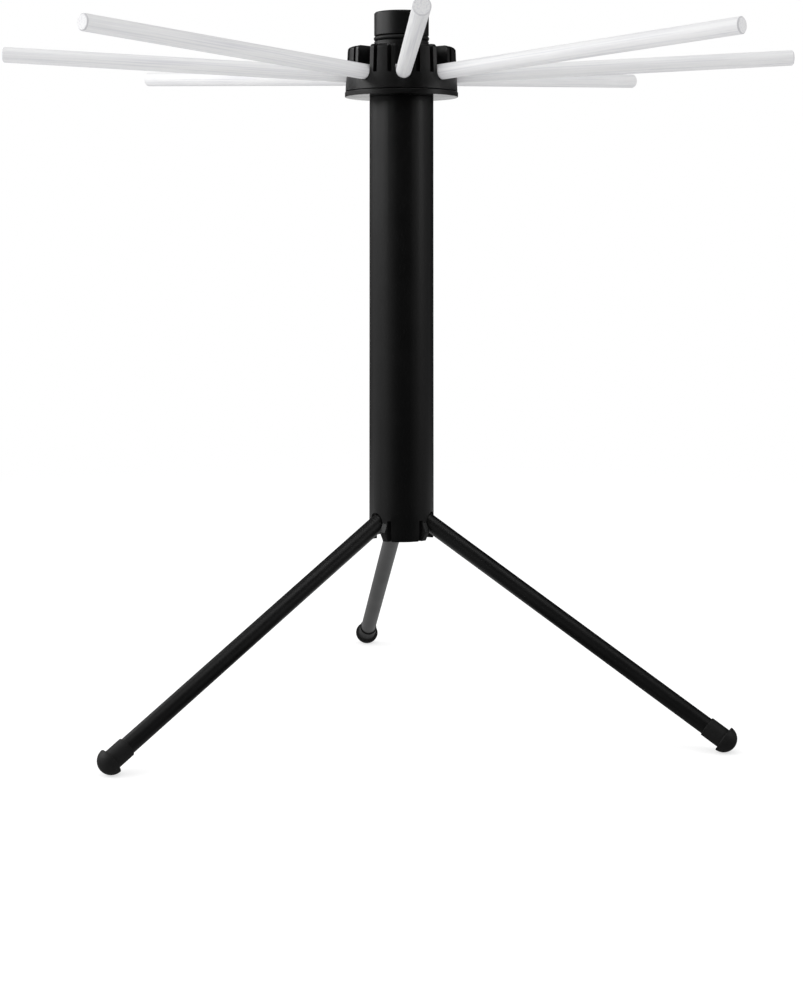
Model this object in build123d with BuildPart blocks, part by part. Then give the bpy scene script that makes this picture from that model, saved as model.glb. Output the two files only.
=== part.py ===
from build123d import *
from math import cos, radians, sin, tan
import os

# Tabletop drying rack, in millimetres: eight rods hinged in a round hub, which sits
# on a hollow column with three fold-out legs.
# The origin is on the table under the column's axis, Z is up and rod_1 points along -Y.

# Arms: how many there are and how they stand when the rack is open
rod_count = 8
leg_count = 3
rod_tilt = 3.07  # degrees above level
leg_splay = 57.9  # degrees from straight down
stand_turn = 4.9  # degrees that leg_1 stands past +Y under the hub

# Rods
rod_diameter = 9.4
rod_length = 225.7
rod_tip_chamfer = 0.7
rod_heel = 3.2  # pivot to the rod's inner end
rod_heel_rounding = 3.5  # lower inner corner, so that the heel turns over the slot's floor
rod_heel_chamfer = 1.2
rod_drop = 2.8  # the rod's centre line lies this far under its pivot
rod_pivot_radius = 24.1
rod_pivot_height = 16.0  # above the hub's underside
rod_boss_diameter = 4.6
rod_boss_gap = 0.2
rod_trunnion_diameter = 3.2
rod_trunnion_gap = 0.3  # between the trunnion's end and the relief groove
rod_slot_clearance = 0.35
pivot_fit = 0.05  # radial running fit of every trunnion in its hole

# Hub crown
hub_height = 30.0
crown_base_diameter = 70.0
crown_top_diameter = 67.6
crown_edge_radius = 2.4
crown_slot_inner = 20.1  # column axis to the slots' inner wall
crown_cheek = 2.5
crown_relief_width = 2.4
crown_relief_inner = 22.0
crown_relief_floor = 13.2  # above the hub's underside
crown_mouth_chamfer = 0.6
crown_lead_radius = 1.6  # rounds the cheeks' upper corners beside the rods
hub_bore_clearance = 0.35  # beyond the sealing ring's outside

# Hub base ring, under the crown
ring_thickness = 3.6
ring_lip = 0.4  # beyond the crown's side
ring_edge_chamfer = 0.4
seam_height = 0.6
seam_depth = 0.9
collar_diameter = 54.0
collar_wall = 2.0
collar_height = 2.4
collar_clearance = 0.3

# Column tube
tube_length = 276.5
tube_top_diameter = 40.0
tube_bottom_diameter = 41.8
tube_wall = 2.4
tube_end_band = 6.0  # the outside tapers in over this height above the lower end
tube_end_taper = 0.5
leg_slot_clearance = 0.65
leg_slot_waist = 0.3  # clearance at the two snap bumps under the leg's seat
leg_slot_bump_radius = 2.6
leg_slot_bump_height = 5.6  # above the tube's lower end
tongue_width = 3.4
tongue_slit_width = 2.2
tongue_slit_length = 13.4
tongue_pad_inner = 15.2  # column axis to the pads' inner faces
tongue_pad_height = 16.2
ear_height = 11.6
ear_peak_height = 6.0
ear_peak_proud = 1.9
leg_trunnion_gap = 0.3

# Neck post, plugged into the tube's upper end
neck_diameter = 34.0
neck_reach = 21.5  # above the crown
neck_edge_chamfer = 0.8
neck_cap = 2.6
neck_wall = 2.2  # behind the groove of the sealing ring
flange_thickness = 2.4
spigot_length = 24.0
plug_fit = 0.05
plug_lead_chamfer = 0.8

# Sealing ring on the neck
o_ring_thickness = 2.6
o_ring_proud = 0.3
o_ring_height = 5.6  # its centre above the crown
o_ring_groove_width = 3.6
o_ring_fit = 0.05

# Legs and feet
leg_diameter = 10.9
leg_length = 230.9  # pivot to the centre of the foot's dome
leg_pivot_radius = 18.0
leg_pivot_height = 11.75  # above the tube's lower end
leg_trunnion_diameter = 2.6
leg_trunnion_reach = 1.7  # into the tube's wall
foot_dome_diameter = 16.9
foot_lip_rounding = 0.5
foot_sleeve_diameter = 12.6
foot_sleeve_length = 12.4
foot_sleeve_chamfer = 0.35
foot_socket_depth = 2.0  # the leg's end reaches this far past the dome's centre
foot_fit = 0.05

overrun = 1.0  # how far a cut runs past a face

# Radii
rod_radius = rod_diameter / 2
leg_radius = leg_diameter / 2
tube_top_radius = tube_top_diameter / 2
tube_bottom_radius = tube_bottom_diameter / 2
neck_radius = neck_diameter / 2
dome_radius = foot_dome_diameter / 2
o_ring_radius = o_ring_thickness / 2
o_ring_outside = neck_radius + o_ring_proud
hub_bore_radius = o_ring_outside + hub_bore_clearance
groove_floor_radius = o_ring_outside - o_ring_thickness - o_ring_fit
rod_slot_radius = rod_radius + rod_slot_clearance
leg_slot_radius = leg_radius + leg_slot_clearance
rod_hole_radius = rod_trunnion_diameter / 2 + pivot_fit
leg_hole_radius = leg_trunnion_diameter / 2 + pivot_fit

ring_radius = crown_base_diameter / 2 + ring_lip

# Heights, from the table up
leg_pivot_z = dome_radius + leg_length * cos(radians(leg_splay))
tube_bottom_z = leg_pivot_z - leg_pivot_height
tube_top_z = tube_bottom_z + tube_length
hub_base_z = tube_top_z + flange_thickness
crown_base_z = hub_base_z + ring_thickness
crown_top_z = hub_base_z + hub_height
neck_top_z = crown_top_z + neck_reach
o_ring_z = crown_top_z + o_ring_height
rod_pivot_z = hub_base_z + rod_pivot_height
leg_slot_bump_z = tube_bottom_z + leg_slot_bump_height

rod_angles = [-90 + 360 * i / rod_count for i in range(rod_count)]
leg_angles = [90 + stand_turn + 360 * i / leg_count for i in range(leg_count)]


def tube_radius(height):
    """Outer radius of the tapered tube at a height above its lower end."""
    return tube_bottom_radius + (tube_top_radius - tube_bottom_radius) * height / tube_length


def hinge_plane(angle, radius, height, elevation):
    """Plane of one hinged arm: x runs out along the arm, z along the hinge's axis."""
    a, e = radians(angle), radians(elevation)
    return Plane(
        origin=(radius * cos(a), radius * sin(a), height),
        x_dir=(cos(e) * cos(a), cos(e) * sin(a), sin(e)),
        z_dir=(sin(a), -cos(a), 0),
    )


def section_plane(hinge, along, across):
    """Plane square to an arm, at a distance along it and across it from its pivot."""
    return Plane(
        origin=hinge.from_local_coords((along, across, 0)),
        x_dir=hinge.z_dir,
        z_dir=hinge.x_dir,
    )


os.makedirs("parts", exist_ok=True)

# Cutter for one rod's slot, which points along +X: round floor, open at the top
slot_axis_z = (
    rod_pivot_z
    - rod_drop / cos(radians(rod_tilt))
    - (rod_pivot_radius - crown_slot_inner) * tan(radians(rod_tilt))
)
slot_wall = Plane(origin=(crown_slot_inner, 0, slot_axis_z), x_dir=(0, 1, 0), z_dir=(1, 0, 0))
rod_direction = (cos(radians(rod_tilt)), 0, sin(radians(rod_tilt)))
with BuildPart() as slot_cutter:
    with BuildSketch(slot_wall):
        Circle(rod_slot_radius)
        Rectangle(2 * rod_slot_radius, hub_height, align=(Align.CENTER, Align.MIN))
    extrude(amount=crown_base_diameter / 2, dir=rod_direction)
    lead_offset = rod_slot_radius + crown_lead_radius
    with BuildSketch(Plane(slot_wall, origin=(crown_slot_inner, 0, crown_top_z - crown_lead_radius))):
        Rectangle(2 * lead_offset, crown_lead_radius + overrun, align=(Align.CENTER, Align.MIN))
        with Locations((lead_offset, 0), (-lead_offset, 0)):
            Circle(crown_lead_radius, mode=Mode.SUBTRACT)
    extrude(amount=crown_base_diameter / 2)

# Cutter for the two relief grooves that free one slot's cheeks, and the trunnion holes
relief_offset = rod_slot_radius + crown_cheek + crown_relief_width / 2
with BuildPart() as cheek_cutter:
    with BuildSketch(Plane.XY.offset(hub_base_z + crown_relief_floor)):
        with Locations((crown_relief_inner, relief_offset), (crown_relief_inner, -relief_offset)):
            Rectangle(crown_base_diameter / 2, crown_relief_width, align=(Align.MIN, Align.CENTER))
    extrude(amount=hub_height)
    with BuildSketch(Plane.XZ):
        with Locations((rod_pivot_radius, rod_pivot_z)):
            Circle(rod_hole_radius)
    extrude(amount=relief_offset, both=True)

# Hub crown: drafted body, eight slots between cheeks, and a groove for the base ring's collar
with BuildPart() as crown:
    with BuildSketch(Plane.XZ) as crown_section:
        with BuildLine():
            Polyline(
                (hub_bore_radius, crown_base_z),
                (crown_base_diameter / 2, crown_base_z),
                (crown_top_diameter / 2, crown_top_z),
                (hub_bore_radius, crown_top_z),
                close=True,
            )
        make_face()
        rim, mouth = crown_section.vertices().group_by(Axis.Y)[-1].sort_by(Axis.X, reverse=True)
        fillet(rim, crown_edge_radius)
        chamfer(mouth, crown_mouth_chamfer)
    revolve(axis=Axis.Z)
    with BuildSketch(Plane.XY.offset(crown_base_z)):
        Circle(collar_diameter / 2 + collar_clearance)
        Circle(collar_diameter / 2 - collar_wall - collar_clearance, mode=Mode.SUBTRACT)
    extrude(amount=collar_height + collar_clearance, mode=Mode.SUBTRACT)
    with PolarLocations(0, rod_count):
        add(slot_cutter.part, mode=Mode.SUBTRACT)
    with PolarLocations(0, rod_count):
        add(cheek_cutter.part, mode=Mode.SUBTRACT)
crown.part.label = "hub_crown"
export_step(crown.part, "parts/hub_crown.step")

# Hub base ring: closes the crown from below, with a shadow seam and a centring collar
with BuildPart() as base_ring:
    with BuildSketch(Plane.XZ) as ring_section:
        with BuildLine():
            Polyline(
                (hub_bore_radius, hub_base_z),
                (ring_radius, hub_base_z),
                (ring_radius, crown_base_z - seam_height),
                (crown_base_diameter / 2 - seam_depth, crown_base_z - seam_height),
                (crown_base_diameter / 2 - seam_depth, crown_base_z),
                (collar_diameter / 2, crown_base_z),
                (collar_diameter / 2, crown_base_z + collar_height),
                (collar_diameter / 2 - collar_wall, crown_base_z + collar_height),
                (collar_diameter / 2 - collar_wall, crown_base_z),
                (hub_bore_radius, crown_base_z),
                close=True,
            )
        make_face()
        chamfer(ring_section.vertices().group_by(Axis.X)[-1], ring_edge_chamfer)
    revolve(axis=Axis.Z)
base_ring.part.label = "hub_base_ring"
export_step(base_ring.part, "parts/hub_base_ring.step")

# Neck post: hollow plug with a flange on the tube's end and a closed top
groove_low_z = o_ring_z - o_ring_groove_width / 2
groove_high_z = o_ring_z + o_ring_groove_width / 2
spigot_radius = tube_radius(tube_length) - tube_wall - plug_fit
post_bore_radius = groove_floor_radius - neck_wall
with BuildPart() as neck_post:
    with BuildSketch(Plane.XZ) as post_section:
        with BuildLine():
            Polyline(
                (post_bore_radius, tube_top_z - spigot_length),
                (spigot_radius, tube_top_z - spigot_length),
                (spigot_radius, tube_top_z),
                (tube_top_radius, tube_top_z),
                (tube_top_radius, hub_base_z),
                (neck_radius, hub_base_z),
                (neck_radius, groove_low_z),
                (groove_floor_radius, groove_low_z),
                (groove_floor_radius, groove_high_z),
                (neck_radius, groove_high_z),
                (neck_radius, neck_top_z),
                (0, neck_top_z),
                (0, neck_top_z - neck_cap),
                (post_bore_radius, neck_top_z - neck_cap),
                close=True,
            )
        make_face()
        chamfer(post_section.vertices().group_by(Axis.Y)[-1].sort_by(Axis.X)[-1], neck_edge_chamfer)
        chamfer(post_section.vertices().group_by(Axis.Y)[0].sort_by(Axis.X)[-1], plug_lead_chamfer)
    revolve(axis=Axis.Z)
neck_post.part.label = "neck_post"
export_step(neck_post.part, "parts/neck_post.step")

# Sealing ring that holds the hub down on the neck
with BuildPart() as o_ring:
    with BuildSketch(Plane.XZ):
        with Locations((o_ring_outside - o_ring_radius, o_ring_z)):
            Circle(o_ring_radius)
    revolve(axis=Axis.Z)
o_ring.part.label = "o_ring"
export_step(o_ring.part, "parts/o_ring.step")

# Cutter for one leg's slot, which points along +X: a round seat at the top, two snap bumps,
# a slit on the far side of each tongue, and the trunnion holes in the tongues
leg_slot = Plane.YZ.offset(tongue_pad_inner - overrun)
slot_depth = tube_bottom_radius + ear_peak_proud + overrun - (tongue_pad_inner - overrun)
bump_offset = leg_radius + leg_slot_waist + leg_slot_bump_radius
slit_offset = leg_slot_radius + tongue_width + tongue_slit_width / 2
with BuildPart() as leg_slot_cutter:
    with BuildSketch(leg_slot):
        with Locations((0, leg_pivot_z)):
            Circle(leg_slot_radius)
        with Locations((0, tube_bottom_z - overrun)):
            Rectangle(
                2 * leg_slot_radius, leg_pivot_height + overrun, align=(Align.CENTER, Align.MIN)
            )
        with Locations((bump_offset, leg_slot_bump_z), (-bump_offset, leg_slot_bump_z)):
            Circle(leg_slot_bump_radius, mode=Mode.SUBTRACT)
    extrude(amount=slot_depth)
    with BuildSketch(leg_slot):
        with Locations((slit_offset, tube_bottom_z - overrun), (-slit_offset, tube_bottom_z - overrun)):
            Rectangle(
                tongue_slit_width, tongue_slit_length + overrun, align=(Align.CENTER, Align.MIN)
            )
    extrude(amount=slot_depth)
    with BuildSketch(Plane.XZ):
        with Locations((leg_pivot_radius, leg_pivot_z)):
            Circle(leg_hole_radius)
    extrude(amount=leg_slot_radius + leg_trunnion_reach + leg_trunnion_gap, both=True)

# Ridges on the tongues' outer faces: a ring of triangular section, cut to the tongues' width
ear_root_radius = tube_bottom_radius - tube_wall / 2
with BuildPart() as ears:
    with BuildSketch(Plane.XZ):
        with BuildLine():
            Polyline(
                (ear_root_radius, tube_bottom_z),
                (tube_bottom_radius - tube_end_taper, tube_bottom_z),
                (tube_radius(ear_peak_height) + ear_peak_proud, tube_bottom_z + ear_peak_height),
                (tube_radius(ear_height), tube_bottom_z + ear_height),
                (ear_root_radius, tube_bottom_z + ear_height),
                close=True,
            )
        make_face()
    revolve(axis=Axis.Z)
    with BuildSketch(Plane.XY.offset(tube_bottom_z)):
        with PolarLocations(0, leg_count, start_angle=leg_angles[0]):
            with Locations((0, leg_slot_radius), (0, -leg_slot_radius - tongue_width)):
                Rectangle(tube_bottom_diameter, tongue_width, align=(Align.MIN, Align.MIN))
    extrude(amount=ear_height, mode=Mode.INTERSECT)

# Pads inside the tongues, which thicken the wall round the trunnion holes
with BuildPart() as pads:
    with BuildSketch(Plane.XY.offset(tube_bottom_z)):
        Circle(tube_bottom_radius - tube_wall / 2)
    extrude(amount=tongue_pad_height)
    with BuildSketch(Plane.XY.offset(tube_bottom_z)):
        with PolarLocations(0, leg_count, start_angle=leg_angles[0]):
            with Locations(
                (tongue_pad_inner, leg_slot_radius),
                (tongue_pad_inner, -leg_slot_radius - tongue_width),
            ):
                Rectangle(tube_bottom_radius, tongue_width, align=(Align.MIN, Align.MIN))
    extrude(amount=tongue_pad_height, mode=Mode.INTERSECT)

# Column tube: tapered, open at both ends, slotted and slit at the lower one
with BuildPart() as tube:
    with BuildSketch(Plane.XZ):
        with BuildLine():
            Polyline(
                (tube_bottom_radius - tube_wall, tube_bottom_z),
                (tube_bottom_radius - tube_end_taper, tube_bottom_z),
                (tube_radius(tube_end_band), tube_bottom_z + tube_end_band),
                (tube_top_radius, tube_top_z),
                (tube_top_radius - tube_wall, tube_top_z),
                close=True,
            )
        make_face()
    revolve(axis=Axis.Z)
    add(ears.part)
    add(pads.part)
    with PolarLocations(0, leg_count, start_angle=leg_angles[0]):
        add(leg_slot_cutter.part, mode=Mode.SUBTRACT)
tube.part.label = "tube"
export_step(tube.part, "parts/tube.step")

# Rods: round bars with a rounded heel, a boss across the heel and a trunnion at each side
for number, angle in enumerate(rod_angles, 1):
    hinge = hinge_plane(angle, rod_pivot_radius, rod_pivot_z, rod_tilt)
    with BuildPart() as rod:
        with BuildSketch(section_plane(hinge, -rod_heel, -rod_drop)):
            Circle(rod_radius)
        extrude(amount=rod_length)
        ends = rod.edges().filter_by(GeomType.CIRCLE).sort_by_distance(hinge.origin)
        chamfer(ends[-1], rod_tip_chamfer)
        chamfer(ends[0], rod_heel_chamfer)
        with BuildSketch(hinge) as side_view:
            with Locations((-rod_heel, -rod_drop - rod_radius)):
                Rectangle(rod_length, rod_diameter, align=(Align.MIN, Align.MIN))
            fillet(side_view.vertices().sort_by_distance((0, 0))[0:1], rod_heel_rounding)
        extrude(amount=rod_radius, both=True, mode=Mode.INTERSECT)
        with BuildSketch(hinge):
            Circle(rod_boss_diameter / 2)
        extrude(amount=rod_slot_radius - rod_boss_gap, both=True)
        with BuildSketch(hinge):
            Circle(rod_trunnion_diameter / 2)
        extrude(amount=rod_slot_radius + crown_cheek - rod_trunnion_gap, both=True)
    rod.part.label = f"rod_{number}"
    export_step(rod.part, f"parts/rod_{number}.step")

# Legs: round bars with a ball end on the pivot and a trunnion at each side
# Feet: rubber caps with a domed sole, pushed over the legs' lower ends
for number, angle in enumerate(leg_angles, 1):
    hinge = hinge_plane(angle, leg_pivot_radius, leg_pivot_z, leg_splay - 90)
    with BuildPart() as leg:
        with BuildSketch(section_plane(hinge, 0, 0)):
            Circle(leg_radius)
        extrude(amount=leg_length + foot_socket_depth)
        with Locations(hinge.origin):
            Sphere(leg_radius)
        with BuildSketch(hinge):
            Circle(leg_trunnion_diameter / 2)
        extrude(amount=leg_slot_radius + leg_trunnion_reach, both=True)
    leg.part.label = f"leg_{number}"
    export_step(leg.part, f"parts/leg_{number}.step")

    socket_radius = leg_radius + foot_fit
    socket_end = leg_length + foot_socket_depth + foot_fit
    with BuildPart() as foot:
        with BuildSketch(hinge) as foot_section:
            with BuildLine():
                Polyline(
                    (leg_length + dome_radius, 0),
                    (socket_end, 0),
                    (socket_end, socket_radius),
                    (leg_length - foot_sleeve_length, socket_radius),
                    (leg_length - foot_sleeve_length, foot_sleeve_diameter / 2),
                    (leg_length, foot_sleeve_diameter / 2),
                    (leg_length, dome_radius),
                )
                CenterArc((leg_length, 0), dome_radius, 0, 90)
            make_face()
            fillet(foot_section.vertices().sort_by(Axis.Y)[-1], foot_lip_rounding)
            sleeve_end = foot_section.vertices().group_by(Axis.X)[0].sort_by(Axis.Y)
            chamfer(sleeve_end[-1], foot_sleeve_chamfer)
        revolve(axis=Axis(hinge.origin, hinge.x_dir))
    foot.part.label = f"foot_{number}"
    export_step(foot.part, f"parts/foot_{number}.step")
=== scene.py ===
"""Looks of a tabletop drying rack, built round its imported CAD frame.

The frame is in metres: the origin is on the table under the column's axis, Z is up and
rod 1 points along -Y. Shapes are worked in millimetres and brought to metres when a
piece is made.
"""
import logging
import math
from dataclasses import dataclass
from enum import Enum

import bmesh
import bpy
from mathutils import Matrix, Vector


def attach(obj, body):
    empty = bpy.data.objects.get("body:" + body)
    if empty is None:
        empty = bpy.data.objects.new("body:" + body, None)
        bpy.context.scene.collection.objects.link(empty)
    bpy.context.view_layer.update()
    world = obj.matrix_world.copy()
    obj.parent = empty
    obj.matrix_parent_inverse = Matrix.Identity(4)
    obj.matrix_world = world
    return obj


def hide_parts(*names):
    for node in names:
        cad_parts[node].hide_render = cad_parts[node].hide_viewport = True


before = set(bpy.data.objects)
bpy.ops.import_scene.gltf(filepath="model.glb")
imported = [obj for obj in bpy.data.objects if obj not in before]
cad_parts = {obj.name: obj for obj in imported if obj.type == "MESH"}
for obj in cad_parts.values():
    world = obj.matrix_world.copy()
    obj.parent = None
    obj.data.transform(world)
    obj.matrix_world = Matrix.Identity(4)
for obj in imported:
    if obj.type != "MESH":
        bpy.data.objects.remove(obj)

log = logging.getLogger("drying_rack")

Points = list[tuple[float, float]]
Span = tuple[float, float]

MM = 0.001
WHITE = (1.0, 1.0, 1.0, 1.0)

# Finishes
PLASTIC_IOR = 1.5
GLOSS_SPAN: Span = (0.1, 0.9)  # cloud noise over which the roughness swings
BAR_AXES = "bar_axes"  # attribute that holds a point's place in its bar's own axes
FLOW_STRETCH = 0.012  # how fast the flow lines' noise runs along a bar, against across it
FLOW_SPAN: Span = (0.4, 0.75)  # noise over which a flow line grows from none to full

# Meshes, with merge distances in millimetres
POLE_MERGE = 1e-4  # for the points of a lathe on its axis
FACET_MERGE = 2e-3  # for the points of neighbouring CAD facets
JOIN_MERGE = 1e-3  # for the points along a join
FLAT_TURN = math.radians(0.4)  # CAD facets that turn less than this become one
SHARP_TURN = math.radians(35)  # edges that turn more than this are shaded sharp


# Colour and shader helpers


def linear(hex_colour: str) -> tuple[float, float, float, float]:
    """Turn an sRGB hex colour into linear RGBA.

    Args:
        hex_colour: Six hex digits after a hash.

    Returns:
        Linear red, green and blue, and an alpha of 1.
    """
    values = [int(hex_colour[i:i + 2], 16) / 255 for i in (1, 3, 5)]
    red, green, blue = (
        v / 12.92 if v <= 0.04045 else ((v + 0.055) / 1.055) ** 2.4 for v in values
    )
    return red, green, blue, 1.0


def add_node(
    tree: bpy.types.NodeTree,
    kind: str,
    settings: dict | None = None,
    links: dict | None = None,
) -> bpy.types.Node:
    """Add a shader node with its settings and its incoming links.

    Args:
        tree: Node tree that gets the node.
        kind: Blender's type name of the node.
        settings: Property names, or input names or numbers, with their values.
        links: Input names or numbers with the output sockets that feed them.

    Returns:
        The new node.
    """
    node = tree.nodes.new(kind)
    for name, value in (settings or {}).items():
        if isinstance(name, int) or name in node.inputs:
            node.inputs[name].default_value = value
        else:
            setattr(node, name, value)
    for name, source in (links or {}).items():
        tree.links.new(source, node.inputs[name])
    return node


def empty_tree(owner: bpy.types.Material | bpy.types.World) -> bpy.types.NodeTree:
    """Switch an owner to nodes and clear them.

    Args:
        owner: Material or world that gets the nodes.

    Returns:
        The empty node tree.
    """
    owner.use_nodes = True
    owner.node_tree.nodes.clear()
    return owner.node_tree


# Finishes


@dataclass(frozen=True)
class MouldedPlastic:
    """Injection-moulded thermoplastic with the fine grain of a spark-eroded mould.

    Args:
        name: Name of the material.
        colour: Main colour.
        shade: Colour of the faint clouds that flow leaves in the skin.
        roughness: Mean roughness.
        roughness_swing: How far the roughness strays to each side.
        grain_mm: Spacing of the mould's grain.
        grain_depth_mm: Depth of that grain.
        cloud_mm: Size of the clouds in colour and gloss.
        slot: Name of a material slot. Not used.
        flow: Colour of the flow lines that run along a bar, or nothing for no such lines.
        flow_mm: Spacing of those lines.
        flow_depth_mm: Depth of those lines.
    """

    name: str
    colour: str
    shade: str
    roughness: float
    roughness_swing: float
    grain_mm: float
    grain_depth_mm: float
    cloud_mm: float
    slot: str
    flow: str = ""
    flow_mm: float = 0.9
    flow_depth_mm: float = 0.02

    def material(self) -> bpy.types.Material:
        """Build the material, or find it where it already exists.

        Returns:
            The material.
        """
        known = bpy.data.materials.get(self.name)
        if known:
            return known
        material = bpy.data.materials.new(self.name)
        tree = empty_tree(material)
        place = add_node(tree, "ShaderNodeTexCoord").outputs["Object"]
        clouds = add_node(
            tree,
            "ShaderNodeTexNoise",
            {"Scale": 1 / (self.cloud_mm * MM), "Detail": 3.0, "Roughness": 0.55},
            {"Vector": place},
        )
        colour = add_node(
            tree,
            "ShaderNodeMix",
            {"data_type": "RGBA", 6: linear(self.colour), 7: linear(self.shade)},
            {0: clouds.outputs["Fac"]},
        )
        gloss = add_node(
            tree,
            "ShaderNodeMapRange",
            {
                "interpolation_type": "SMOOTHSTEP",
                "From Min": GLOSS_SPAN[0],
                "From Max": GLOSS_SPAN[1],
                "To Min": self.roughness - self.roughness_swing,
                "To Max": self.roughness + self.roughness_swing,
            },
            {"Value": clouds.outputs["Fac"]},
        )
        grain = add_node(
            tree,
            "ShaderNodeTexNoise",
            {"Scale": 1 / (self.grain_mm * MM), "Detail": 2.0, "Roughness": 0.6},
            {"Vector": place},
        )
        relief = add_node(
            tree,
            "ShaderNodeBump",
            {"Strength": 1.0, "Distance": self.grain_depth_mm * MM},
            {"Height": grain.outputs["Fac"]},
        )
        if self.flow:
            colour, relief = self.flow_lines(tree, colour, relief)
        shader = add_node(
            tree,
            "ShaderNodeBsdfPrincipled",
            {"IOR": PLASTIC_IOR},
            {
                "Base Color": colour.outputs[2],
                "Roughness": gloss.outputs["Result"],
                "Normal": relief.outputs["Normal"],
            },
        )
        add_node(
            tree, "ShaderNodeOutputMaterial", links={"Surface": shader.outputs["BSDF"]}
        )
        return material

    def flow_lines(
        self, tree: bpy.types.NodeTree, colour: bpy.types.Node, relief: bpy.types.Node
    ) -> tuple[bpy.types.Node, bpy.types.Node]:
        """Draw faint lines along a bar, as the melt leaves them when it fills a long mould.

        Args:
            tree: Node tree that gets the nodes.
            colour: Node with the colour under the lines.
            relief: Node with the relief under the lines.

        Returns:
            The nodes with the colour and the relief with the lines on them.
        """
        along = add_node(tree, "ShaderNodeAttribute", {"attribute_name": BAR_AXES})
        drawn = add_node(
            tree,
            "ShaderNodeMapping",
            {"Scale": (FLOW_STRETCH, 1.0, 1.0)},
            {"Vector": along.outputs["Vector"]},
        )
        lines = add_node(
            tree,
            "ShaderNodeTexNoise",
            {"Scale": 1 / (self.flow_mm * MM), "Detail": 2.0, "Roughness": 0.5},
            {"Vector": drawn.outputs["Vector"]},
        )
        strength = add_node(
            tree,
            "ShaderNodeMapRange",
            {
                "interpolation_type": "SMOOTHSTEP",
                "From Min": FLOW_SPAN[0],
                "From Max": FLOW_SPAN[1],
            },
            {"Value": lines.outputs["Fac"]},
        )
        tinted = add_node(
            tree,
            "ShaderNodeMix",
            {"data_type": "RGBA", 7: linear(self.flow)},
            {0: strength.outputs["Result"], 6: colour.outputs[2]},
        )
        lined = add_node(
            tree,
            "ShaderNodeBump",
            {"Strength": 1.0, "Distance": self.flow_depth_mm * MM},
            {"Height": lines.outputs["Fac"], "Normal": relief.outputs["Normal"]},
        )
        return tinted, lined


# Satin black ABS: a deep black body under a soft, wide highlight
BLACK_ABS = MouldedPlastic(
    name="Black ABS, fine spark grain",
    colour="#060607",
    shade="#090909",
    roughness=0.4,
    roughness_swing=0.04,
    grain_mm=0.5,
    grain_depth_mm=0.012,
    cloud_mm=22.0,
    slot="black_plastic",
)
# The base ring's underside: the same plastic from a polished mould face, which mirrors
# the table at a glancing angle
POLISHED_ABS = MouldedPlastic(
    name="Black ABS, polished mould",
    colour="#0a0a0b",
    shade="#0e0e0f",
    roughness=0.14,
    roughness_swing=0.02,
    grain_mm=2.0,
    grain_depth_mm=0.004,
    cloud_mm=22.0,
    slot="black_plastic",
)
# White ABS of the rods: a soft sheen, a hint of grain and faint flow lines
WHITE_ABS = MouldedPlastic(
    name="White ABS, smooth mould",
    colour="#e8e8e9",
    shade="#e4e4e4",
    roughness=0.5,
    roughness_swing=0.03,
    grain_mm=1.6,
    grain_depth_mm=0.01,
    cloud_mm=30.0,
    slot="white_plastic",
    flow="#d5d5d9",
)
# The chamfered rims of the rods' outer ends: the same plastic in a greyer tone, painted
# shade that darkens the rims
RIM_SHADE_ABS = MouldedPlastic(
    name="White ABS, painted rim shade",
    colour="#bebec1",
    shade="#d6d6d8",
    roughness=0.6,
    roughness_swing=0.05,
    grain_mm=1.2,
    grain_depth_mm=0.03,
    cloud_mm=2.5,
    slot="white_plastic",
)
# Black rubber: duller than the plastic, with a coarser skin
BLACK_RUBBER = MouldedPlastic(
    name="Black rubber, matt skin",
    colour="#0a0a0a",
    shade="#121212",
    roughness=0.62,
    roughness_swing=0.05,
    grain_mm=0.45,
    grain_depth_mm=0.03,
    cloud_mm=6.0,
    slot="black_rubber",
)


# Shape helpers: every shape is a bmesh in millimetres


class Stance(Enum):
    """Turns that a shape takes from the X axis, round which it was spun."""

    UPRIGHT = Matrix.Rotation(math.radians(-90), 4, "Y")
    CROSSWISE = Matrix.Rotation(math.radians(90), 4, "Y")


def place_shape(shape: bmesh.types.BMesh, matrix: Matrix) -> None:
    """Move every point of a shape by a matrix."""
    bmesh.ops.transform(shape, matrix=matrix, verts=shape.verts[:])


def lathe(profile: Points, closed: bool = False, steps: int = 64) -> bmesh.types.BMesh:
    """Spin a profile round the X axis.

    Args:
        profile: Points as (distance along X, radius).
        closed: Whether the last point joins the first.
        steps: Facets round the axis.

    Returns:
        The closed shape.
    """
    shape = bmesh.new()
    verts = [shape.verts.new((along, radius, 0.0)) for along, radius in profile]
    ends = verts[1:] + verts[:1] if closed else verts[1:]
    edges = [shape.edges.new(pair) for pair in zip(verts, ends)]
    bmesh.ops.spin(
        shape,
        geom=verts + edges,
        cent=(0, 0, 0),
        axis=(1, 0, 0),
        angle=math.tau,
        steps=steps,
        use_merge=True,
    )
    bmesh.ops.remove_doubles(shape, verts=shape.verts[:], dist=POLE_MERGE)
    bmesh.ops.recalc_face_normals(shape, faces=shape.faces[:])
    return shape


def arc(
    centre: tuple[float, float], radius: float, start: float, end: float, steps: int
) -> Points:
    """Draw an arc.

    Args:
        centre: Centre of the arc.
        radius: Radius of the arc.
        start: Angle of the first point from the X axis, in degrees.
        end: Angle of the last point from the X axis, in degrees.
        steps: Number of equal steps from the first point to the last.

    Returns:
        The points of the arc, both ends included.
    """
    turns = (math.radians(start + (end - start) * i / steps) for i in range(steps + 1))
    return [
        (centre[0] + radius * math.cos(turn), centre[1] + radius * math.sin(turn))
        for turn in turns
    ]


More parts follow.
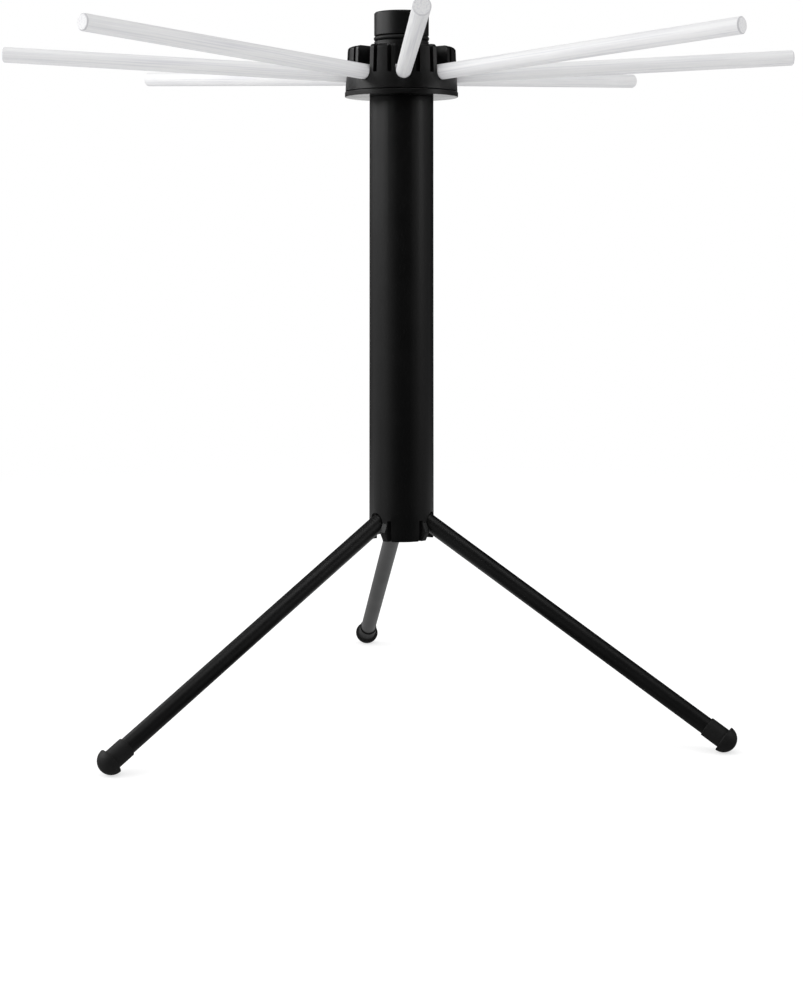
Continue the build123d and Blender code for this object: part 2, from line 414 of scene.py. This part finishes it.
def soften(
    shape: bmesh.types.BMesh, width: float, segments: int = 3, turn: float = 30.0
) -> None:
    """Round the sharp edges of a shape, as the edges of a mould are.

    Args:
        shape: Shape to change.
        width: How far the rounding reaches from the edge.
        segments: Facets across the rounding.
        turn: Least angle between an edge's faces, in degrees, that counts as sharp.
    """
    limit = math.radians(turn)
    sharp = [e for e in shape.edges if e.is_manifold and e.calc_face_angle() > limit]
    bmesh.ops.bevel(
        shape,
        geom=sharp,
        offset=width,
        offset_type="OFFSET",
        segments=segments,
        profile=0.5,
        affect="EDGES",
        clamp_overlap=True,
        material=-1,
    )


def joined(first: bmesh.types.BMesh, second: bmesh.types.BMesh) -> bmesh.types.BMesh:
    """Join two shapes into one.

    Args:
        first: One shape. It is freed here.
        second: The other shape. It is freed here.

    Returns:
        The joined shape.
    """
    objects = []
    for part in (first, second):
        mesh = bpy.data.meshes.new("work")
        part.to_mesh(mesh)
        part.free()
        objects.append(bpy.data.objects.new("work", mesh))
        bpy.context.scene.collection.objects.link(objects[-1])
    boolean = objects[0].modifiers.new("work", "BOOLEAN")
    boolean.operation = "UNION"
    boolean.solver = "EXACT"
    boolean.object = objects[1]
    graph = bpy.context.evaluated_depsgraph_get()
    mesh = bpy.data.meshes.new_from_object(objects[0].evaluated_get(graph))
    result = bmesh.new()
    result.from_mesh(mesh)
    bpy.data.meshes.remove(mesh)
    for item in objects:
        data = item.data
        bpy.data.objects.remove(item)
        bpy.data.meshes.remove(data)
    return result


def with_pin(
    shape: bmesh.types.BMesh, radius: float, reach: float, steps: int
) -> bmesh.types.BMesh:
    """Join a pin to a shape, centred on the origin and along the pivot's axis.

    Args:
        shape: Shape that gets the pin. It is freed here.
        radius: Radius of the pin.
        reach: Half the pin's length.
        steps: Facets round the pin.

    Returns:
        The shape with its pin.
    """
    profile = [(-reach, 0.0), (-reach, radius), (reach, radius), (reach, 0.0)]
    pin = lathe(profile, steps=steps)
    place_shape(pin, Stance.CROSSWISE.value)
    return joined(shape, pin)


def cad_copy(node: str) -> bmesh.types.BMesh:
    """Copy a CAD node's mesh, with its points merged and its flat facets joined.

    Args:
        node: Name of the node.

    Returns:
        The copy, in millimetres.
    """
    shape = bmesh.new()
    shape.from_mesh(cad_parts[node].data)
    bmesh.ops.scale(shape, vec=(1 / MM,) * 3, verts=shape.verts[:])
    bmesh.ops.remove_doubles(shape, verts=shape.verts[:], dist=FACET_MERGE)
    bmesh.ops.dissolve_limit(
        shape,
        angle_limit=FLAT_TURN,
        use_dissolve_boundaries=False,
        verts=shape.verts[:],
        edges=shape.edges[:],
        delimit=set(),
    )
    return shape


def make_piece(
    name: str,
    shape: bmesh.types.BMesh,
    finish: MouldedPlastic,
    body: str,
    *nodes: str,
) -> bpy.types.Object:
    """Turn a shape into a piece that rides on a body and stands for CAD nodes.

    Args:
        name: Name of the piece.
        shape: Shape in millimetres and in the frame's axes. It is freed here.
        finish: Finish of the piece.
        body: Body that carries the piece.
        nodes: CAD nodes that the piece stands for.

    Returns:
        The piece's object, at the origin.
    """
    bmesh.ops.scale(shape, vec=(MM,) * 3, verts=shape.verts[:])
    mesh = bpy.data.meshes.new(name)
    shape.to_mesh(mesh)
    shape.free()
    mesh.shade_smooth()
    mesh.set_sharp_from_angle(angle=SHARP_TURN)
    mesh.materials.append(finish.material())
    piece = bpy.data.objects.new(name, mesh)
    bpy.context.scene.collection.objects.link(piece)
    weights = piece.modifiers.new("even_shading", "WEIGHTED_NORMAL")
    weights.keep_sharp = True
    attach(piece, body)
    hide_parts(*nodes)
    log.info("%s: %d faces on %s", name, len(mesh.polygons), body)
    return piece


# Studio


def aimed(place: Vector, aim: Vector) -> Matrix:
    """Matrix of a lamp or camera at a place, with its view along a direction."""
    return Matrix.Translation(place) @ aim.to_track_quat("-Z", "Y").to_matrix().to_4x4()


@dataclass(frozen=True)
class Softbox:
    """Rectangular lamp that faces a point of the rack.

    Args:
        name: Name of the lamp.
        place: Centre of the lamp, in metres.
        target: Point that it faces, in metres.
        width: Width in metres.
        height: Height in metres.
        power: Power in watts.
    """

    name: str
    place: tuple[float, float, float]
    target: tuple[float, float, float]
    width: float
    height: float
    power: float

    def build(self) -> None:
        """Add the lamp to the scene."""
        lamp = bpy.data.lights.new(self.name, "AREA")
        lamp.shape = "RECTANGLE"
        lamp.size = self.width
        lamp.size_y = self.height
        lamp.energy = self.power
        holder = bpy.data.objects.new(self.name, lamp)
        place = Vector(self.place)
        holder.matrix_world = aimed(place, Vector(self.target) - place)
        bpy.context.scene.collection.objects.link(holder)


@dataclass(frozen=True)
class Studio:
    """White table and surround, soft lamps and the camera.

    Args:
        softboxes: The lamps.
        camera_distance: Column's axis to the camera, in metres.
        camera_height: Camera above the table, in metres.
        camera_turn: How far the camera stands to the left of -Y, in degrees.
        camera_drop: Angle that the view looks down by, in degrees.
        focal_px: Focal length, in pixels of the 1000-pixel side.
        frame_px: Height of the picture, in pixels.
        film_mm: Height of the camera's film, in millimetres.
        clip: Nearest and farthest distance that the camera sees, in metres.
        fill_level: Level of the surround as light on the rack.
        dark_level: Level of the dark cards in gloss, on the surround and the table.
        wall_level: Level of the surround on the left, in gloss.
        wall_start: X of a unit vector at which the surround's left side starts to glow.
        left_level: Level of the table on the left, in gloss.
        left_start: X of a unit vector at which the table's left side starts to glow.
        left_full: X of a unit vector at which either left side glows in full.
        right_level: Level of the surround and the table on the right, in gloss.
        right_span: X of a unit vector from where the right side glows to where it is full.
        floor_size: Side of the floor, in metres.
        table_colour: Colour of the table as light on the rack.
        shadow_colour: Colour of the layer that catches shadows, to the camera.
        shadow_glow: Level added to that layer, so that it is white outside the shadows.
        shadow_reach: Distances over which that layer gives way to white, in metres.
        near_level: Level of the table close behind the rack, in gloss.
        near_reach: Distances over which that level fades, in metres.
        near_span: Y of a unit vector from where that level shows to where it is full.
        far_reach: Distances over which the table's back turns white in gloss, in metres.
        far_span: Y of a unit vector from where that white shows to where it is full.
    """

    softboxes: tuple[Softbox, ...] = (
        Softbox(
            name="left_softbox",
            place=(-1.35, 0.05, 0.98),
            target=(0.0, 0.0, 0.45),
            width=1.9,
            height=0.6,
            power=14.0,
        ),
        Softbox(
            name="right_softbox",
            place=(1.4, -0.5, 0.85),
            target=(0.0, 0.0, 0.45),
            width=0.75,
            height=0.9,
            power=3.1,
        ),
        Softbox(
            name="top_softbox",
            place=(0.1, -0.3, 1.8),
            target=(0.0, 0.0, 0.3),
            width=1.2,
            height=1.2,
            power=4.4,
        ),
    )
    camera_distance: float = 1.1385
    camera_height: float = 0.31295
    camera_turn: float = 2.32
    camera_drop: float = 8.456
    focal_px: float = 1779.8
    frame_px: float = 1000.0
    film_mm: float = 36.0
    clip: Span = (0.05, 60.0)
    fill_level: float = 0.71
    dark_level: float = 0.01
    wall_level: float = 0.42
    wall_start: float = -0.3
    left_level: float = 0.29
    left_start: float = -0.5
    left_full: float = -0.95
    right_level: float = 0.15
    right_span: Span = (0.6, 0.98)
    floor_size: float = 24.0
    table_colour: str = "#f4f4f4"
    shadow_colour: str = "#bbbbbb"
    shadow_glow: float = 0.62
    shadow_reach: Span = (0.5, 1.3)
    near_level: float = 0.6
    near_reach: Span = (0.5, 1.2)
    near_span: Span = (0.0, 0.7)
    far_reach: Span = (2.5, 5.0)
    far_span: Span = (0.9, 0.98)

    def build(self) -> None:
        """Build the whole studio."""
        bpy.context.scene.view_settings.view_transform = "Standard"
        self.build_camera()
        self.build_world()
        self.build_floor()
        for softbox in self.softboxes:
            softbox.build()
        log.info("studio: camera, world, floor and softboxes")

    def build_camera(self) -> None:
        """Place the camera of the photograph."""
        turn, drop = math.radians(self.camera_turn), math.radians(self.camera_drop)
        outward = Vector((-math.sin(turn), -math.cos(turn), 0.0))
        place = outward * self.camera_distance + Vector((0.0, 0.0, self.camera_height))
        aim = -outward * math.cos(drop) - Vector((0.0, 0.0, math.sin(drop)))
        lens = bpy.data.cameras.new("camera")
        lens.sensor_fit = "VERTICAL"
        lens.sensor_height = self.film_mm
        lens.lens = self.focal_px / self.frame_px * self.film_mm
        lens.clip_start, lens.clip_end = self.clip
        camera = bpy.data.objects.new("camera", lens)
        camera.matrix_world = aimed(place, aim)
        bpy.context.scene.collection.objects.link(camera)
        bpy.context.scene.camera = camera

    def side_glow(
        self,
        tree: bpy.types.NodeTree,
        direction: bpy.types.NodeSocket,
        start: float,
        level: float,
    ) -> bpy.types.Node:
        """Add a level for gloss: wide and pale on the left, narrow and dim on the right.

        Args:
            tree: Node tree that gets the nodes.
            direction: Unit vector away from the rack.
            start: X of that vector at which the left side starts to glow.
            level: Level of the left side.

        Returns:
            The node with the level as its first output.
        """
        way = add_node(tree, "ShaderNodeSeparateXYZ", links={0: direction})
        right_start, right_full = self.right_span
        left, right = (
            add_node(
                tree,
                "ShaderNodeMapRange",
                {
                    "interpolation_type": "SMOOTHSTEP",
                    "From Min": dark_end,
                    "From Max": pale_end,
                    "To Min": self.dark_level,
                    "To Max": high,
                },
                {"Value": way.outputs["X"]},
            )
            for dark_end, pale_end, high in (
                (start, self.left_full, level),
                (right_start, right_full, self.right_level),
            )
        )
        return add_node(
            tree,
            "ShaderNodeMath",
            {"operation": "MAXIMUM"},
            {0: left.outputs["Result"], 1: right.outputs["Result"]},
        )

    def build_world(self) -> None:
        """Build the surround: white to the camera, and dark with side glow in gloss."""
        world = bpy.data.worlds.new("surround")
        bpy.context.scene.world = world
        tree = empty_tree(world)
        ray = add_node(tree, "ShaderNodeLightPath")
        outward = add_node(tree, "ShaderNodeTexCoord").outputs["Generated"]
        glow = self.side_glow(tree, outward, self.wall_start, self.wall_level)
        mirrored = add_node(
            tree, "ShaderNodeBackground", {"Color": WHITE}, {"Strength": glow.outputs[0]}
        )
        fill = add_node(
            tree, "ShaderNodeBackground", {"Color": WHITE, "Strength": self.fill_level}
        )
        white = add_node(tree, "ShaderNodeBackground", {"Color": WHITE, "Strength": 1.0})
        gloss_mix = add_node(
            tree,
            "ShaderNodeMixShader",
            links={
                0: ray.outputs["Is Glossy Ray"],
                1: fill.outputs[0],
                2: mirrored.outputs[0],
            },
        )
        seen = add_node(
            tree,
            "ShaderNodeMath",
            {"operation": "MAXIMUM"},
            {0: ray.outputs["Is Camera Ray"], 1: ray.outputs["Is Transmission Ray"]},
        )
        mix = add_node(
            tree,
            "ShaderNodeMixShader",
            links={0: seen.outputs[0], 1: gloss_mix.outputs[0], 2: white.outputs[0]},
        )
        add_node(tree, "ShaderNodeOutputWorld", links={"Surface": mix.outputs[0]})

    def build_floor(self) -> None:
        """Build the table: white to the camera, with the rack's soft shadow kept."""
        shape = bmesh.new()
        bmesh.ops.create_grid(shape, x_segments=1, y_segments=1, size=self.floor_size / 2)
        mesh = bpy.data.meshes.new("floor")
        shape.to_mesh(mesh)
        shape.free()
        floor = bpy.data.objects.new("floor", mesh)
        bpy.context.scene.collection.objects.link(floor)
        material = bpy.data.materials.new("White table")
        tree = empty_tree(material)
        ray = add_node(tree, "ShaderNodeLightPath")
        place = add_node(tree, "ShaderNodeTexCoord").outputs["Object"]
        reach = add_node(tree, "ShaderNodeVectorMath", {"operation": "LENGTH"}, {0: place})
        away = add_node(
            tree,
            "ShaderNodeMapRange",
            {
                "interpolation_type": "SMOOTHSTEP",
                "From Min": self.shadow_reach[0],
                "From Max": self.shadow_reach[1],
                "To Min": 0.0,
                "To Max": 1.0,
            },
            {"Value": reach.outputs["Value"]},
        )
        table = add_node(
            tree, "ShaderNodeBsdfDiffuse", {"Color": linear(self.table_colour)}
        )
        shaded = add_node(
            tree, "ShaderNodeBsdfDiffuse", {"Color": linear(self.shadow_colour)}
        )
        lift = add_node(
            tree, "ShaderNodeEmission", {"Color": WHITE, "Strength": self.shadow_glow}
        )
        near = add_node(
            tree, "ShaderNodeAddShader", links={0: shaded.outputs[0], 1: lift.outputs[0]}
        )
        white = add_node(tree, "ShaderNodeEmission", {"Color": WHITE, "Strength": 1.0})
        seen = add_node(
            tree,
            "ShaderNodeMixShader",
            links={0: away.outputs[0], 1: near.outputs[0], 2: white.outputs[0]},
        )
        gloss_mix = add_node(
            tree,
            "ShaderNodeMixShader",
            links={
                0: ray.outputs["Is Glossy Ray"],
                1: table.outputs[0],
                2: self.mirrored_table(tree, place, reach.outputs["Value"]).outputs[0],
            },
        )
        mix = add_node(
            tree,
            "ShaderNodeMixShader",
            links={
                0: ray.outputs["Is Camera Ray"],
                1: gloss_mix.outputs[0],
                2: seen.outputs[0],
            },
        )
        add_node(tree, "ShaderNodeOutputMaterial", links={"Surface": mix.outputs[0]})
        mesh.materials.append(material)

    def mirrored_table(
        self,
        tree: bpy.types.NodeTree,
        place: bpy.types.NodeSocket,
        reach: bpy.types.NodeSocket,
    ) -> bpy.types.Node:
        """Add the table as gloss shows it: pale behind the rack, white at its far back.

        Args:
            tree: Node tree that gets the nodes.
            place: Point on the table.
            reach: Distance of that point from the rack.

        Returns:
            The emission node.
        """
        toward = add_node(
            tree, "ShaderNodeVectorMath", {"operation": "NORMALIZE"}, {0: place}
        )
        way = add_node(tree, "ShaderNodeSeparateXYZ", links={0: toward.outputs[0]})
        close, behind, far, straight = (
            add_node(
                tree,
                "ShaderNodeMapRange",
                {
                    "interpolation_type": "SMOOTHSTEP",
                    "From Min": start,
                    "From Max": end,
                    "To Min": low,
                    "To Max": high,
                },
                {"Value": value},
            )
            for value, (start, end), (low, high) in (
                (reach, self.near_reach, (self.near_level, 0.0)),
                (way.outputs["Y"], self.near_span, (0.0, 1.0)),
                (reach, self.far_reach, (0.0, 1.0)),
                (way.outputs["Y"], self.far_span, (0.0, 1.0)),
            )
        )
        far_back = add_node(
            tree,
            "ShaderNodeMath",
            {"operation": "MULTIPLY"},
            {0: far.outputs["Result"], 1: straight.outputs["Result"]},
        )
        glow = self.side_glow(tree, toward.outputs[0], self.left_start, self.left_level)
        level = add_node(
            tree,
            "ShaderNodeMath",
            {"operation": "MULTIPLY_ADD"},
            {0: close.outputs["Result"], 1: behind.outputs["Result"], 2: glow.outputs[0]},
        )
        lit = add_node(
            tree,
            "ShaderNodeMath",
            {"operation": "MAXIMUM"},
            {0: level.outputs[0], 1: far_back.outputs[0]},
        )
        return add_node(
            tree, "ShaderNodeEmission", {"Color": WHITE}, {"Strength": lit.outputs[0]}
        )


# Sub-assemblies


@dataclass(frozen=True)
class Hinge:
    """Place of one hinged arm.

    Args:
        angle: Direction of the arm from +X, in degrees.
        radius: Column's axis to the pivot, in millimetres.
        height: Pivot above the table, in millimetres.
        elevation: Slope of the arm above level, in degrees.
    """

    angle: float
    radius: float
    height: float
    elevation: float

    def matrix(self) -> Matrix:
        """Place the arm.

        Returns:
            Matrix from the arm's axes, X along it and Z along its pivot, to the frame's.
        """
        a, e = math.radians(self.angle), math.radians(self.elevation)
        along = Vector((math.cos(e) * math.cos(a), math.cos(e) * math.sin(a), math.sin(e)))
        pivot = Vector((math.sin(a), -math.cos(a), 0.0))
        across = pivot.cross(along)
        origin = (self.radius * math.cos(a), self.radius * math.sin(a), self.height)
        rows = [list(row) for row in zip(along, across, pivot, origin)]
        return Matrix(rows + [[0.0, 0.0, 0.0, 1.0]])


@dataclass(frozen=True)
class Column:
    """Tapered tube with its leg slots, and the neck post with its sealing ring.

    Args:
        tube_edge: Rounding of the tube's edges.
        tube_top: Height of the tube's upper end.
        tube_top_radius: Radius of the tube and of the neck's flange there.
        flange_top: Height of the flange, on which the hub rests.
        neck_top: Height of the neck's closed end.
        neck_radius: Radius of the neck.
        neck_rim: Chamfer of the neck's rim.
        neck_edge: Rounding of the neck's other edges.
        cap_thickness: Thickness of the neck's closed end.
        bore_radius: Radius of the neck's hollow.
        spigot_radius: Radius of the plug in the tube.
        spigot_length: Length of that plug.
        groove_low: Lower side of the sealing ring's groove.
        groove_high: Upper side of that groove.
        groove_floor: Radius of its floor.
        gate_radius: Radius of the scar that the mould's gate leaves on the closed end.
        gate_depth: Depth of that scar.
        ring_radius: Column's axis to the middle of the sealing ring's thickness.
        ring_thickness: Thickness of the sealing ring.
        ring_height: Height of the sealing ring.
        steps: Facets round the neck and the sealing ring.
        section_steps: Facets round the sealing ring's section.
    """

    tube_edge: float = 0.25
    tube_top: float = 395.9
    tube_top_radius: float = 20.0
    flange_top: float = 398.3
    neck_top: float = 449.8
    neck_radius: float = 17.0
    neck_rim: float = 0.8
    neck_edge: float = 0.2
    cap_thickness: float = 2.6
    bore_radius: float = 12.45
    spigot_radius: float = 17.55
    spigot_length: float = 24.0
    groove_low: float = 432.1
    groove_high: float = 435.7
    groove_floor: float = 14.65
    gate_radius: float = 1.4
    gate_depth: float = 0.3
    ring_radius: float = 16.0
    ring_thickness: float = 2.6
    ring_height: float = 433.9
    steps: int = 96
    section_steps: int = 24

    def build(self) -> None:
        """Build the tube, the neck post and the sealing ring."""
        tube = cad_copy("tube")
        soften(tube, self.tube_edge, segments=2)
        make_piece("column_tube", tube, BLACK_ABS, "stand", "tube")
        make_piece("neck_plug", self.neck(), BLACK_ABS, "stand", "neck_post")
        make_piece("sealing_ring", self.seal(), BLACK_RUBBER, "stand", "o_ring")

    def neck(self) -> bmesh.types.BMesh:
        """Lathe the neck post.

        Returns:
            The plug, flange, grooved neck and closed end.
        """
        low = self.tube_top - self.spigot_length
        shape = lathe(
            [
                (self.neck_top - self.cap_thickness, 0.0),
                (self.neck_top - self.cap_thickness, self.bore_radius),
                (low, self.bore_radius),
                (low, self.spigot_radius - self.neck_rim),
                (low + self.neck_rim, self.spigot_radius),
                (self.tube_top, self.spigot_radius),
                (self.tube_top, self.tube_top_radius),
                (self.flange_top, self.tube_top_radius),
                (self.flange_top, self.neck_radius),
                (self.groove_low, self.neck_radius),
                (self.groove_low, self.groove_floor),
                (self.groove_high, self.groove_floor),
                (self.groove_high, self.neck_radius),
                (self.neck_top - self.neck_rim, self.neck_radius),
                (self.neck_top, self.neck_radius - self.neck_rim),
                (self.neck_top, self.gate_radius),
                (self.neck_top - self.gate_depth, self.gate_radius - self.gate_depth),
                (self.neck_top - self.gate_depth, 0.0),
            ],
            steps=self.steps,
        )
        soften(shape, self.neck_edge)
        place_shape(shape, Stance.UPRIGHT.value)
        return shape

    def seal(self) -> bmesh.types.BMesh:
        """Lathe the sealing ring.

        Returns:
            The ring, of round section.
        """
        centre = (self.ring_height, self.ring_radius)
        section = arc(centre, self.ring_thickness / 2, 0, 360, self.section_steps)
        shape = lathe(section[:-1], closed=True, steps=self.steps)
        place_shape(shape, Stance.UPRIGHT.value)
        return shape


@dataclass(frozen=True)
class Hub:
    """Slotted crown and the base ring under it.

    Args:
        crown_edge: Rounding of the crown's edges.
        base: Height of the base ring's underside.
        ring_top: Height of the base ring's upper face.
        bore_radius: Radius of the bore round the neck.
        outer_radius: Radius of the base ring.
        seam_radius: Radius at the bottom of the seam under the crown.
        seam_height: Height of the seam.
        collar_radius: Radius of the collar inside the crown.
        collar_wall: Thickness of the collar.
        collar_top: Height of the collar.
        ring_edge: Rounding of the ring's edges.
        ring_steps: Facets round the ring.
        underside: Faces of the ring whose normal's Z lies below this look down.
    """

    crown_edge: float = 0.3
    base: float = 398.3
    ring_top: float = 401.9
    bore_radius: float = 17.65
    outer_radius: float = 35.4
    seam_radius: float = 34.1
    seam_height: float = 0.6
    collar_radius: float = 27.0
    collar_wall: float = 2.0
    collar_top: float = 404.3
    ring_edge: float = 0.3
    ring_steps: int = 128
    underside: float = -0.9

    def build(self) -> None:
        """Build the crown and the base ring."""
        crown = cad_copy("hub_crown")
        soften(crown, self.crown_edge, segments=2)
        make_piece("slotted_crown", crown, BLACK_ABS, "hub", "hub_crown")
        ring = make_piece("base_lip", self.ring(), BLACK_ABS, "hub_base", "hub_base_ring")
        ring.data.materials.append(POLISHED_ABS.material())
        for face in ring.data.polygons:
            if face.normal.z < self.underside:
                face.material_index = 1

    def ring(self) -> bmesh.types.BMesh:
        """Lathe the base ring.

        Returns:
            The ring with its seam and the collar that centres it in the crown.
        """
        shape = lathe(
            [
                (self.base, self.bore_radius),
                (self.base, self.outer_radius),
                (self.ring_top - self.seam_height, self.outer_radius),
                (self.ring_top - self.seam_height, self.seam_radius),
                (self.ring_top, self.seam_radius),
                (self.ring_top, self.collar_radius),
                (self.collar_top, self.collar_radius),
                (self.collar_top, self.collar_radius - self.collar_wall),
                (self.ring_top, self.collar_radius - self.collar_wall),
                (self.ring_top, self.bore_radius),
            ],
            closed=True,
            steps=self.ring_steps,
        )
        soften(shape, self.ring_edge)
        place_shape(shape, Stance.UPRIGHT.value)
        return shape


@dataclass(frozen=True)
class Rods:
    """Eight white bars that fold up out of the crown's slots.

    Args:
        count: Number of rods.
        pivot_radius: Column's axis to the pivots.
        pivot_height: Height of the pivots.
        tilt: Slope of the rods above level, in degrees.
        radius: Radius of a rod.
        length: Length of a rod.
        heel: Pivot to the rod's inner end.
        heel_chamfer: Chamfer round that end.
        heel_rounding: Radius of the inner end's lower corner.
        heel_facets: Cuts that make that rounding.
        heel_end: Pivot to a ring of edges that keeps the heel's facets off the bar.
        tip_chamfer: Chamfer of the outer end.
        drop: How far a rod's centre line lies under its pivot.
        boss_radius: Radius of the boss round the pivot.
        boss_reach: Half its length.
        trunnion_radius: Radius of the trunnions.
        trunnion_reach: Half their length, tip to tip.
        pin_steps: Facets round the boss and the trunnions.
        edge: Rounding of the edges.
        rim_span: Range of the cosine between the rod and the normals of its outer rim.
    """

    count: int = 8
    pivot_radius: float = 24.1
    pivot_height: float = 414.3
    tilt: float = 3.07
    radius: float = 4.7
    length: float = 225.7
    heel: float = 3.2
    heel_chamfer: float = 1.2
    heel_rounding: float = 3.5
    heel_facets: int = 8
    heel_end: float = 6.0
    tip_chamfer: float = 0.7
    drop: float = 2.8
    boss_radius: float = 2.3
    boss_reach: float = 4.85
    trunnion_radius: float = 1.6
    trunnion_reach: float = 7.25
    pin_steps: int = 40
    edge: float = 0.18
    rim_span: Span = (0.3, 0.95)

    def build(self) -> None:
        """Build the rods."""
        bar = self.bar()
        middle = self.length * MM / 2
        low, high = self.rim_span
        for number in range(1, self.count + 1):
            angle = -90 + 360 * (number - 1) / self.count
            hinge = Hinge(angle, self.pivot_radius, self.pivot_height, self.tilt)
            place = hinge.matrix()
            copy = bar.copy()
            place_shape(copy, place)
            rod = make_piece(
                f"rod_bar_{number}", copy, WHITE_ABS, f"rod_{number}_body", f"rod_{number}"
            )
            # The outer rim's chamfer faces get the greyer finish: painted shade on the rim
            rod.data.materials.append(RIM_SHADE_ABS.material())
            along = place.col[0].xyz
            for face in rod.data.polygons:
                if low < face.normal.dot(along) < high and face.center.dot(along) > middle:
                    face.material_index = 1
        bar.free()

    def bar(self) -> bmesh.types.BMesh:
        """Shape one rod in its hinge's axes.

        Returns:
            The bar with its rounded heel, boss and trunnions.
        """
        tip = self.length - self.heel
        shape = lathe(
            [
                (-self.heel, 0.0),
                (-self.heel, self.radius - self.heel_chamfer),
                (-self.heel + self.heel_chamfer, self.radius),
                (self.heel_end, self.radius),
                (self.heel_end + self.heel, self.radius),
                (tip - self.heel, self.radius),
                (tip - self.tip_chamfer, self.radius),
                (tip, self.radius - self.tip_chamfer),
                (tip, 0.0),
            ]
        )
        bmesh.ops.translate(shape, vec=(0, -self.drop, 0), verts=shape.verts[:])
        self.round_heel(shape)
        shape = with_pin(shape, self.boss_radius, self.boss_reach, self.pin_steps)
        shape = with_pin(shape, self.trunnion_radius, self.trunnion_reach, self.pin_steps)
        bmesh.ops.remove_doubles(shape, verts=shape.verts[:], dist=JOIN_MERGE)
        soften(shape, self.edge, segments=2)
        axes = shape.verts.layers.float_vector.new(BAR_AXES)
        for vert in shape.verts:
            vert[axes] = vert.co * MM
        return shape

    def round_heel(self, shape: bmesh.types.BMesh) -> None:
        """Cut the inner end's lower corner round, by planes along its curve.

        Args:
            shape: The rod's bar, in its hinge's axes.
        """
        bottom = -self.drop - self.radius
        centre = Vector((self.heel_rounding - self.heel, self.heel_rounding + bottom, 0))
        for cut in range(1, self.heel_facets):
            turn = math.radians(180 + 90 * cut / self.heel_facets)
            outward = Vector((math.cos(turn), math.sin(turn), 0))
            ends = bmesh.ops.bisect_plane(
                shape,
                geom=shape.verts[:] + shape.edges[:] + shape.faces[:],
                plane_co=centre + outward * self.heel_rounding,
                plane_no=outward,
                clear_outer=True,
            )
            rim = [e for e in ends["geom_cut"] if isinstance(e, bmesh.types.BMEdge)]
            bmesh.ops.edgeloop_fill(shape, edges=rim)
        bmesh.ops.recalc_face_normals(shape, faces=shape.faces[:])


@dataclass(frozen=True)
class Legs:
    """Three black bars with rubber feet, hinged in the tube's slots.

    Args:
        count: Number of legs.
        first_angle: Direction of leg 1 from +X, in degrees.
        pivot_radius: Column's axis to the pivots.
        pivot_height: Height of the pivots.
        splay: Slope of the legs from straight down, in degrees.
        radius: Radius of a leg, and of the ball at its pivot.
        length: Pivot to the centre of the foot's dome.
        socket_depth: How far a leg's end reaches past that centre.
        trunnion_radius: Radius of the trunnions.
        trunnion_reach: Half their length, tip to tip.
        trunnion_steps: Facets round the trunnions.
        ball_steps: Facets from the ball's pole to the bar.
        dome_radius: Radius of a foot's dome.
        dome_steps: Facets from the dome's pole to its lip.
        sleeve_radius: Radius of a foot's sleeve.
        sleeve_length: Length of that sleeve.
        fit: Gap between a leg and its foot.
        edge: Rounding of a foot's edges.
    """

    count: int = 3
    first_angle: float = 94.9
    pivot_radius: float = 18.0
    pivot_height: float = 131.15
    splay: float = 57.9
    radius: float = 5.45
    length: float = 230.9
    socket_depth: float = 2.0
    trunnion_radius: float = 1.3
    trunnion_reach: float = 7.8
    trunnion_steps: int = 32
    ball_steps: int = 12
    dome_radius: float = 8.45
    dome_steps: int = 14
    sleeve_radius: float = 6.3
    sleeve_length: float = 12.4
    fit: float = 0.05
    edge: float = 0.3

    def build(self) -> None:
        """Build the legs and their feet."""
        leg, foot = self.leg(), self.foot()
        for number in range(1, self.count + 1):
            angle = self.first_angle + 360 * (number - 1) / self.count
            hinge = Hinge(angle, self.pivot_radius, self.pivot_height, self.splay - 90)
            place = hinge.matrix()
            for name, part, finish in (
                ("leg", leg, BLACK_ABS),
                ("foot", foot, BLACK_RUBBER),
            ):
                copy = part.copy()
                place_shape(copy, place)
                make_piece(
                    f"{name}_moulding_{number}",
                    copy,
                    finish,
                    f"leg_{number}_body",
                    f"{name}_{number}",
                )
        leg.free()
        foot.free()

    def leg(self) -> bmesh.types.BMesh:
        """Shape one leg in its hinge's axes.

        Returns:
            The bar with its ball end and trunnions.
        """
        end = self.length + self.socket_depth
        ball = arc((0.0, 0.0), self.radius, 180, 90, self.ball_steps)
        shape = lathe(ball + [(end, self.radius), (end, 0.0)])
        shape = with_pin(
            shape, self.trunnion_radius, self.trunnion_reach, self.trunnion_steps
        )
        bmesh.ops.remove_doubles(shape, verts=shape.verts[:], dist=JOIN_MERGE)
        return shape

    def foot(self) -> bmesh.types.BMesh:
        """Shape one rubber foot in its hinge's axes.

        Returns:
            The dome, its lip and the sleeve.
        """
        back = self.length - self.sleeve_length
        floor = self.length + self.socket_depth + self.fit
        dome = arc((self.length, 0.0), self.dome_radius, 0, 90, self.dome_steps)
        shape = lathe(
            dome
            + [
                (self.length, self.sleeve_radius),
                (back, self.sleeve_radius),
                (back, self.radius + self.fit),
                (floor, self.radius + self.fit),
                (floor, 0.0),
            ]
        )
        soften(shape, self.edge)
        return shape


def main() -> None:
    """Build the studio and every piece of the rack."""
    logging.basicConfig(level=logging.INFO, format="%(name)s: %(message)s")
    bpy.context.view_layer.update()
    Studio().build()
    for assembly in (Column(), Hub(), Rods(), Legs()):
        assembly.build()


if __name__ == "__main__":
    main()
